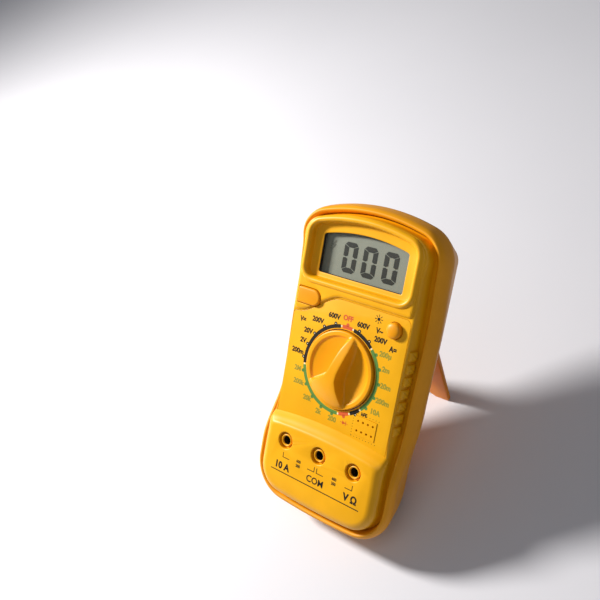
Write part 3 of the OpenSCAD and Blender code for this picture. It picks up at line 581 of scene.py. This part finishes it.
# Growth inwards, top edge, drop of its ends and level of each row of the platform
platform_rows = [
    (0.0, -26.4, 2.3, -0.6), (0.0, -27.0, 2.3, 0.0), (0.0, -27.9, 2.2, 0.8),
    (0.15, -28.7, 2.1, 1.6), (0.4, -29.3, 2.0, 2.2), (0.75, -30.0, 1.9, 2.75),
    (1.2, -30.6, 1.8, 3.2), (1.7, -31.1, 1.7, 3.62), (2.3, -31.5, 1.6, 4.0),
    (2.95, -31.9, 1.5, 4.3), (3.6, -32.4, 1.5, 4.5), (4.2, -33.0, 1.5, PLATFORM),
]
platform = thing("jack_platform", loft([flat(platform_outline(d, y, drop), z)
                                        for d, y, drop, z in platform_rows]))
cut(platform,
    *[opening(circle(x, -JACK_ROW, JACK_RECESS), PLATFORM - 2.3, PLATFORM, 0.35)
      for x in JACKS.values()])
cut(platform, *jack_holes(4))


def deck_outline(d):
    """Raised deck round the display: along the label's top edge, which it steps down to, then up
    the case's sides and round its top end."""
    wave = [(x, 20.7 + d + 10.6 * ease((x + 28) / 23))
            for x in (mix(-29.2, 29.2, i / 60) for i in range(61))]
    edge = case_edge(0.3 + d)
    right = [p for p in edge if p[0] > 0 and p[1] > 32.0 + d]
    left = [p for p in edge if p[0] <= 0 and p[1] > 21.5 + d]
    return wave + right + left


deck_rows = [(0.0, -0.3), (0.0, 0.02)]
for i in range(1, 7):
    t = math.radians(15 * i)
    deck_rows.append((1.7 * (1 - math.cos(t)), 0.02 + (DECK - 0.02) * math.sin(t)))
deck = thing("display_deck", loft([flat(polar(deck_outline(d), (-2.0, 46.0), 320), z)
                                   for d, z in deck_rows]))
cut(deck,
    opening(hold_outline(GAP), -2, DECK, 0.25),
    opening(LIGHT_HOLE, -2, DECK, 0.1),
    rows(rim_outline(-2), [(0, THROUGH), (0, 3)]))
# Black liner down the window's wall: partly the display's own dark surround, partly painted shade standing in for
# the shadow inside the window's walls
liner_and_shade_rows = [(-0.02, BEZEL - 0.35), (-0.1, -3.58), (0.4, -3.58), (0.3, BEZEL - 0.35)]
liner_and_shade = loft([flat(polar(window_outline(d), MID), z) for d, z in liner_and_shade_rows], loop=True)
finish_piece(thing("window_liner_and_painted_shade", liner_and_shade), "meter", "black_plastic")
finish_piece(deck, "meter", "case_plastic")
finish_piece(platform, "meter", "case_plastic")


def grip_pad(side, y):
    """One rounded pad on the steep side of the case."""
    shape = rounded(y - 2.1, -7.2, y + 2.1, -1.6, 0.9, 5)
    levels = [(0, 0), (0, 0.8), (-0.08, 1.08), (-0.28, 1.3), (-0.6, 1.42), (-1.05, 1.46)]
    rings = []
    for d, out in levels:
        pts = []
        for py, pz in grow(shape, d):
            wall = side_half(y) - 7.1 - (pz + 1.0) * 0.095 - 0.35
            pts.append((side * (wall + out), py, pz))
        rings.append(pts)
    return loft(rings)


PAD_FIRST, PAD_PITCH = 15.5, 5.6
pads = join(*[grip_pad(s, PAD_FIRST - PAD_PITCH * i) for i in range(7) for s in (-1, 1)])
finish_piece(thing("grip_pads", pads), "meter", "case_plastic")
finish_piece(thing("display_rim", rim), "meter", "case_plastic")
finish_piece(case, "meter", "case_plastic", "front_case")

# ---------------------------------------------------------------- printed label
label = thing("label_sheet", slab(LABEL, -0.4, -0.05, 0.06))
cut(label, *[rows(hole, [(0, -2), (0, 2)])
             for hole in (circle(0, 0, KNOB_R + 0.6, 128), LIGHT_HOLE, SOCKET_HOLE)])
finish_piece(label, "meter", "label_print", "dial_label")

PRINT_LOW, PRINT_TOP = -0.08, -0.02


def band(r0, r1, start, end, low=PRINT_LOW, high=PRINT_TOP, steps=24):
    """Part of a ring round the dial, with angles in degrees clockwise from OFF."""
    outer_arc = arc(0, 0, r1, 90 - start, 90 - end, steps)
    inner_arc = arc(0, 0, r0, 90 - end, 90 - start, steps)
    return rows(list(reversed(outer_arc + inner_arc)), [(0, low), (0, high)])


def dot(x, y, r, low=PRINT_LOW, high=PRINT_TOP):
    return rows(circle(x, y, r, 16), [(0, low), (0, high)])


def on_dial(angle, r):
    """Place at an angle in degrees clockwise from OFF."""
    a = math.radians(angle)
    return r * math.sin(a), r * math.cos(a)


def bar(x0, y0, x1, y1, w, low=PRINT_LOW, high=PRINT_TOP):
    """Printed line."""
    a, b = Vector((x0, y0)), Vector((x1, y1))
    d = (b - a).normalized() * w / 2
    n = Vector((-d.y, d.x))
    corners = [a - d - n, b + d - n, b + d + n, a - d + n]
    return slab([tuple(p) for p in corners], low, high)


def words(text, x, y, size, low=PRINT_LOW, high=PRINT_TOP, wide=0.85, bold=0.045):
    """Generic figures and unit letters, as thin raised print."""
    curve = bpy.data.curves.new("words", "FONT")
    curve.body = text
    curve.size = size
    curve.align_x = "CENTER"
    curve.align_y = "CENTER"
    curve.extrude = (high - low) / 2
    curve.offset = size * bold
    curve.resolution_u = 3
    obj = bpy.data.objects.new("words", curve)
    bpy.context.scene.collection.objects.link(obj)
    bpy.context.view_layer.update()
    graph = bpy.context.evaluated_depsgraph_get()
    mesh = bpy.data.meshes.new_from_object(obj.evaluated_get(graph))
    place = Matrix.Translation((x, y, (low + high) / 2)) @ Matrix.Diagonal((wide, 1, 1, 1))
    part = ([tuple(place @ v.co) for v in mesh.vertices],
            [tuple(face.vertices) for face in mesh.polygons])
    bpy.data.objects.remove(obj)
    bpy.data.meshes.remove(mesh)
    return part


STEP = 18.0
BAND_IN, BAND_OUT = 18.55, 20.2


prints = {"black": [], "green": [], "red": [], "light": [], "faint": []}
# One band for each group of positions, with a light dot between neighbours
BAND_GAP = 1.3
GROUPS = [("red", 0, 0), ("black", 1, 2), ("green", 3, 7), ("black", 8, 8), ("red", 9, 9),
          ("green", 10, 14), ("black", 15, 19)]
for colour, first, last in GROUPS:
    a, b = (first - 0.5) * STEP + BAND_GAP, (last + 0.5) * STEP - BAND_GAP
    prints[colour].append(band(BAND_IN, BAND_OUT, a, b, steps=6 * (last - first + 1)))
    x, y = on_dial(b + BAND_GAP, BAND_OUT - 0.7)
    prints["light"].append(dot(x, y, 0.42))
    for i in range(first, last + 1):
        x, y = on_dial(i * STEP, 20.5)
        prints[colour].append(dot(x, y, 0.8))
        if colour == "black":
            prints["light"].append(dot(x, y, 0.24, high=PRINT_TOP + 0.012))

# Colour, angle, text and radius of every figure on the dial
SCALE = [
    ("red", -1, "OFF", 23.3), ("black", 19, "600V", 23.6), ("black", 43, "200V", 25.4),
    ("green", 58, "200µ", 24.8), ("green", 72.5, "2m", 23.6), ("green", 90, "20m", 23.9),
    ("green", 106, "200m", 24.8), ("green", 120, "10A", 24.6),
    ("green", 178.5, "200", 22.8), ("green", 198.5, "2k", 23.2), ("green", 219, "20k", 23.3),
    ("green", 239.5, "200k", 24.2), ("green", 254.5, "2M", 23.4), ("black", 274, "200m", 24.3),
    ("black", 288, "2V", 23.4), ("black", 301, "20V", 23.7), ("black", 319, "200V", 24.4),
    ("black", 341, "600V", 23.8),
]
for colour, angle, text, r in SCALE:
    x, y = on_dial(angle, r)
    ink = "faint" if colour == "green" else colour
    prints[ink].append(words(text, x, y, 3.2, wide=0.92))
prints["black"] += [
    words("hFE", 16.4, -15.2, 2.3, wide=0.9),
    words("V~", 16.0, 22.3, 3.3), words("A=", 24.0, 16.4, 3.3), words("V=", -24.2, 16.6, 3.3),
]
# A small lamp sign by the light button and a diode sign by its position
LAMP_X, LAMP_Y = 14.6, 27.2
prints["black"].append(dot(LAMP_X, LAMP_Y, 0.75))
for k in range(8):
    a = math.radians(45 * k)
    c, d = math.cos(a), math.sin(a)
    prints["black"].append(bar(LAMP_X + 1.2 * c, LAMP_Y + 1.2 * d, LAMP_X + 1.9 * c,
                               LAMP_Y + 1.9 * d, 0.3))
dx, dy = on_dial(9 * STEP, 23.4)
prints["red"] += [
    slab([(dx - 1.0, dy - 0.9), (dx + 0.7, dy), (dx - 1.0, dy + 0.9)], PRINT_LOW, PRINT_TOP),
    bar(dx + 0.8, dy - 0.9, dx + 0.8, dy + 0.9, 0.3), bar(dx - 2, dy, dx + 1.9, dy, 0.22),
]
# Dotted frame round the transistor socket
for k in range(9):
    x, y = mix(-6.2, 6.2, k / 8), mix(-5, 5, k / 8)
    prints["black"] += [dot(SOCKET_X + u, SOCKET_Y + v, 0.16)
                        for u, v in ((x, 5.3), (x, -5.3), (-6.4, y))]

# Names of the jacks, a rule under them, and a bracket with two figures between each two jacks
DECK_LOW, DECK_TOP = PLATFORM - 0.01, PLATFORM + 0.02
prints["black"] += [
    bar(-24.5, -55.2, 25.0, -55.2, 0.45, DECK_LOW, DECK_TOP),
    words("10 A", -18.6, -52.3, 4.6, DECK_LOW, DECK_TOP, wide=0.95),
    words("COM", 0.6, -51.9, 4.4, DECK_LOW, DECK_TOP, wide=0.95, bold=0.02),
    words("V Ω", 20.0, -51.9, 4.6, DECK_LOW, DECK_TOP, wide=0.95),
]
for x0, x1 in ((-18.9, -0.7), (0.7, 20.2)):
    for ends in ((x0, -45.6, x0, -47.8), (x1, -45.6, x1, -47.8),
                 (x0, -47.8, x0 + 3.6, -47.8), (x1 - 3.6, -47.8, x1, -47.8)):
        prints["black"].append(bar(*ends, 0.35, DECK_LOW, DECK_TOP))
    mid_x = (x0 + x1) / 2
    prints["black"] += [words("600", mid_x, -46.6, 1.9, DECK_LOW, DECK_TOP),
                        words("200", mid_x, -48.8, 1.9, DECK_LOW, DECK_TOP)]
for colour, parts in prints.items():
    finish_piece(thing("print_" + colour, join(*parts)), "meter", "label_print", ink=INK[colour])

# ---------------------------------------------------------------- display
SEG_LOW, SEG_TOP = -4.8, -4.7


def digit_zero(x, y, w, h, t):
    """Outer segments of a figure 0, t thick, with gaps at the corners."""
    g, c = 0.16, t * 0.55
    top = [(x + c + g, y + h), (x + g + 0.1, y + h - c + 0.1), (x + t + g, y + h - t),
           (x + w - t - g, y + h - t), (x + w - g - 0.1, y + h - c + 0.1), (x + w - c - g, y + h)]
    left_up = [(x, y + h - c - g), (x, y + h / 2 + g + 0.3), (x + t * 0.5, y + h / 2 + g),
               (x + t, y + h / 2 + g + 0.5), (x + t, y + h - t - g)]

    def mirror_x(pts):
        return [(2 * x + w - px, py) for px, py in reversed(pts)]

    def mirror_y(pts):
        return [(px, 2 * y + h - py) for px, py in reversed(pts)]

    shapes = [top, mirror_y(top), left_up, mirror_x(left_up), mirror_y(left_up),
              mirror_y(mirror_x(left_up))]
    return [slab(s, SEG_LOW, SEG_TOP) for s in shapes]


figures = [digit_zero(left, 41.6, 7.2, 13.6, 2.3) for left in (-12.0, -1.7, 9.0)]
finish_piece(thing("lcd_figures", join(*sum(figures, []))), "meter", "lcd", ink=INK["lcd"])
bolt = [(-17.4, 54.4), (-18.9, 52.1), (-17.9, 52.1), (-18.6, 50.0), (-16.4, 52.7), (-17.4, 52.7),
        (-16.5, 54.4)]
faint = [slab(bolt, SEG_LOW, SEG_TOP - 0.02)]
for k in range(4):
    faint.append(bar(-19.6 + 0.1 * k, 50.6 + k, -19.2 + 0.1 * k, 50.6 + k, 0.22, SEG_LOW,
                     SEG_TOP - 0.02))
finish_piece(thing("lcd_sign", join(*faint)), "meter", "lcd", ink=INK["lcd_faint"])

# ---------------------------------------------------------------- selector knob
KNOB_TOP = 5.9
GRIP_RUN = 2.1


def dome(r):
    """Level of the grip's top."""
    return 1.4 + (KNOB_TOP - 1.4) * max(0.0, 1 - (r / 17.0) ** 2) ** 0.75


def bar_half(v):
    """Half width of the grip at a distance v towards its pointer."""
    table = [(-17, 12.4), (-14.5, 11.2), (-11.4, 8.6), (-7, 5.0), (-3.5, 2.9), (0, 2.25),
             (6, 2.05), (11, 1.8), (14, 1.35), (16, 0.9), (17, 0.5)]
    for (a, wa), (b, wb) in zip(table, table[1:]):
        if v <= b:
            return mix(wa, wb, max(0.0, (v - a) / (b - a)))
    return table[-1][1]


def dish(r):
    """Level of the scoops beside the grip."""
    edge = ease((15.5 - r) / 0.9)
    return 1.4 - 0.55 * edge - 1.9 * max(0.0, 1 - (r / 15.6) ** 2)


def knob_height(u, v):
    r = math.hypot(u, v)
    w = bar_half(v)
    over = abs(u) - w
    top = dome(r) - 0.1 * ease((over + 0.5) / 0.5)
    low = dish(r)
    if over <= 0:
        return top
    wall = (1 - min(1.0, over / GRIP_RUN)) ** 2.6
    return max(low, mix(low, top, wall))


def knob_surface():
    """Grid over the disc whose columns follow the edges of the grip."""
    reach = 17.05
    n_rows, centre_n, wall_n, out_n = 110, 7, 12, 30
    grid = []
    for i in range(n_rows + 1):
        v = -reach * math.cos(math.pi * i / n_rows)
        half = math.sqrt(max(0.0, reach * reach - v * v))
        w = min(bar_half(v), half * 0.98)
        foot = min(w + GRIP_RUN, w + (half - w) * 0.9)
        cols = [w * k / centre_n for k in range(centre_n + 1)]
        cols += [mix(w, foot, k / wall_n) for k in range(1, wall_n + 1)]
        cols += [mix(foot, half, k / out_n) for k in range(1, out_n + 1)]
        us = [-c for c in reversed(cols[1:])] + cols
        grid.append([(u, v, knob_height(u, v)) for u in us])
    n = len(grid[0])
    verts = [p for row in grid for p in row]
    faces = []
    for i in range(n_rows):
        for j in range(n - 1):
            a = i * n + j
            faces.append((a, a + 1, a + n + 1, a + n))
    return verts, faces


TURN = Matrix.Rotation(-POINTER, 4, "Z")
knob_side = lathe([(0.01, -2), (17.3, -2), (KNOB_R - 0.08, -1.85), (KNOB_R, -1.6), (KNOB_R, 0.7),
                   (17.55, 0.98), (17.42, 1.2), (17.25, 1.34), (17.05, 1.4), (16.9, 1.2),
                   (16.6, -1.5), (0.01, -1.5)], steps=160)
hub = lathe([(0.01, -7), (4, -7), (4, -1.8), (0.01, -1.8)], steps=48)
knob = thing("knob", join(knob_side, hub, knob_surface()), FACE @ TURN)
bm = bmesh.new()
bm.from_mesh(knob.data)
bmesh.ops.remove_doubles(bm, verts=bm.verts, dist=0.0000004)
bm.to_mesh(knob.data)
bm.free()
finish_piece(knob, "knob", "knob_plastic", "selector_knob", smooth=50)

# ---------------------------------------------------------------- buttons
hold = join(slab(hold_outline(), -2.5, 1.66, 0.8), slab(hold_outline(0.6), -3.4, -2.5),
            lathe([(0.01, -5.9), (1.5, -5.9), (1.5, -3.3), (0.01, -3.3)], HOLD_X, HOLD_Y, 32))
finish_piece(thing("hold_cap", hold), "hold_key", "button_plastic", "hold_button")
light = join(
    lathe([(0.01, -3.5), (4.2, -3.5), (4.2, -2.5), (3.5, -2.5), (3.5, 1.0), (3.42, 1.4),
           (3.2, 1.78), (2.8, 2.1), (2.2, 2.34), (1.4, 2.5), (0.6, 2.57), (0.01, 2.58)],
          LIGHT_X, LIGHT_Y, 64),
    lathe([(0.01, -5.9), (1.5, -5.9), (1.5, -3.4), (0.01, -3.4)], LIGHT_X, LIGHT_Y, 32))
finish_piece(thing("light_cap", light), "light_key", "button_plastic", "backlight_button")

# ---------------------------------------------------------------- jacks
# Each is a brass tube with a flange on the board, and a plastic collar round its mouth
COLLAR = [(2.14, -0.6), (2.9, -0.6), (2.9, 3.35), (2.84, 3.62), (2.66, 3.8), (2.5, 3.84),
          (2.34, 3.78), (2.2, 3.6), (2.14, 3.3)]
TUBE = [(2.0, -10.5), (2.9, -10.5), (2.9, -8.6), (4.2, -8.6), (4.2, -7.6), (2.9, -7.6),
        (2.9, -0.7), (2.12, -0.7), (2.12, 3.1), (2.0, 3.1)]
for node, x in JACKS.items():
    collar = lathe(COLLAR, x, -JACK_ROW, 64, loop=True)
    finish_piece(thing(node + "_collar", collar), "meter", "case_plastic")
    tube = lathe(TUBE, x, -JACK_ROW, 64, loop=True)
    finish_piece(thing(node + "_tube", tube), "meter", "brass", node)

# ---------------------------------------------------------------- tilt stand
HINGE = Matrix.Translation((0, HINGE_Y, HINGE_Z))
SWING = HINGE @ Matrix.Rotation(STAND_OPEN, 4, "X") @ HINGE.inverted()


def stand_shape():
    """Trapezoid with an arched foot edge, so that it stands on two corners."""
    half, arch = 12.0, 5.0
    r = (half * half + arch * arch) / (2 * arch)
    sweep = math.degrees(math.asin(half / r))
    low = FOOT_Y - 1.13
    arch_pts = arc(0, low + arch - r, r, 90 + sweep, 90 - sweep, 20)
    corner = 1.4
    x = STAND_FOOT_HALF - corner
    right = arc(x, low + corner, corner, -90, 8, 5)
    left = arc(-x, low + corner, corner, 172, 270, 5)
    return arch_pts + right + [(STAND_TOP_HALF, HINGE_Y), (-STAND_TOP_HALF, HINGE_Y)] + left


def plate(points, low, high, edge):
    """Solid of an outline, rounded at both its edges."""
    levels = []
    for a in (90, 60, 30, 0):
        t = math.radians(a)
        levels.append((-edge * (1 - math.cos(t)), low + edge - edge * math.sin(t)))
    for a in (0, 30, 60, 90):
        t = math.radians(a)
        levels.append((-edge * (1 - math.cos(t)), high - edge + edge * math.sin(t)))
    return rows(points, levels)


stand = join(
    plate(stand_shape(), HINGE_Z - 1.2, HINGE_Z + 1.2, 0.55),
    across(HINGE_Y, HINGE_Z, 1.5, STAND_TOP_HALF), across(HINGE_Y, HINGE_Z, 1.3, 28.0))
finish_piece(thing("stand_plate", stand, FACE @ SWING), "tilt_stand", "stand_plastic", "stand")

# ---------------------------------------------------------------- floor, lights, camera
floor_mesh = bpy.data.meshes.new("floor")
floor_mesh.from_pydata([(-3, -3, 0), (3, -3, 0), (3, 3, 0), (-3, 3, 0)], [], [(0, 1, 2, 3)])
floor = bpy.data.objects.new("floor", floor_mesh)
bpy.context.scene.collection.objects.link(floor)
floor_mesh.materials.append(material("floor_paper", linear(214, 214, 220), rough=0.7,
                                     contrast=0.012, blotch=6, grain=400, bump=0.03))

world = bpy.data.worlds.new("studio")
bpy.context.scene.world = world
world.use_nodes = True
world.node_tree.nodes["Background"].inputs["Color"].default_value = (0.9, 0.93, 1.0, 1)
world.node_tree.nodes["Background"].inputs["Strength"].default_value = 0.17

middle = FACE @ Vector((0, 0, -10))


def lamp(name, at, size, power, colour=(1, 1, 1)):
    """Soft light at a place given in the face's frame, aimed at the meter."""
    data = bpy.data.lights.new(name, "AREA")
    data.shape = "DISK"
    data.size = size
    data.energy = power
    data.color = colour
    obj = bpy.data.objects.new(name, data)
    bpy.context.scene.collection.objects.link(obj)
    obj.location = FACE @ Vector(at)
    obj.rotation_euler = (middle - obj.location).to_track_quat("-Z", "Y").to_euler()
    return obj


# The key light comes from the upper left, as the photograph's shadows say
lamp("key", (-600, 240, 380), 0.14, 10.5, (1.0, 0.97, 0.93))
lamp("fill", (200, 260, 620), 0.5, 0.7)

# The photograph's viewing angle, in the face's frame
SEEN_FROM = Vector((165.495, 89.775, 258.518))
SEEN_RIGHT = Vector((0.76956, 0.16456, -0.61701))
SEEN_DOWN = Vector((0.25141, -0.96627, 0.05587))
turned = FACE.to_3x3().normalized()
right_w, up_w = turned @ SEEN_RIGHT, turned @ -SEEN_DOWN
back_w = right_w.cross(up_w)
camera_data = bpy.data.cameras.new("camera")
camera_data.sensor_width = 36.0
camera_data.lens = 43.477
camera_data.clip_start = 0.01
camera = bpy.data.objects.new("camera", camera_data)
bpy.context.scene.collection.objects.link(camera)
camera.matrix_world = (Matrix.Translation(FACE @ SEEN_FROM)
                       @ Matrix((right_w, up_w, back_w)).transposed().to_4x4())
bpy.context.scene.camera = camera
bpy.context.scene.view_settings.view_transform = "Standard"
